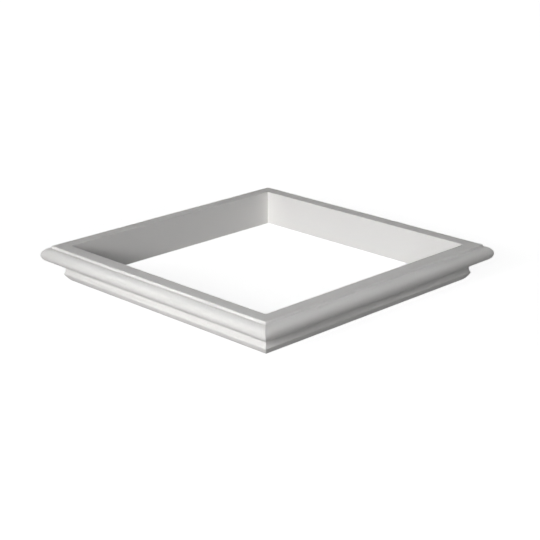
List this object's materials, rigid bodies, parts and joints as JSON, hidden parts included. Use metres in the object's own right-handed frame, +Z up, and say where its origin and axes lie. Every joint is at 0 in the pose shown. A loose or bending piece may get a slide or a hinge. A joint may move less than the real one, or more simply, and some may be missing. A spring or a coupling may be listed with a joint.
{
  "type": "square neck moulding",
  "caption": "Square one-piece neck moulding for a porch column: flat fillet, half-round bead, cove and flared lower band round an open centre.",
  "frame": {"origin": "centre of the column opening, on the bottom face that the moulding rests on", "axes": "+Z up along the column; front and back sides run along X, left and right sides run along Y"},
  "size_m": [0.3326, 0.3326, 0.0381],
  "materials": {
    "white_moulding": "satin white skin, fine and even"
  },
  "bodies": {
    "root": {"neck_moulding": "white_moulding"}
  },
  "joints": []
}
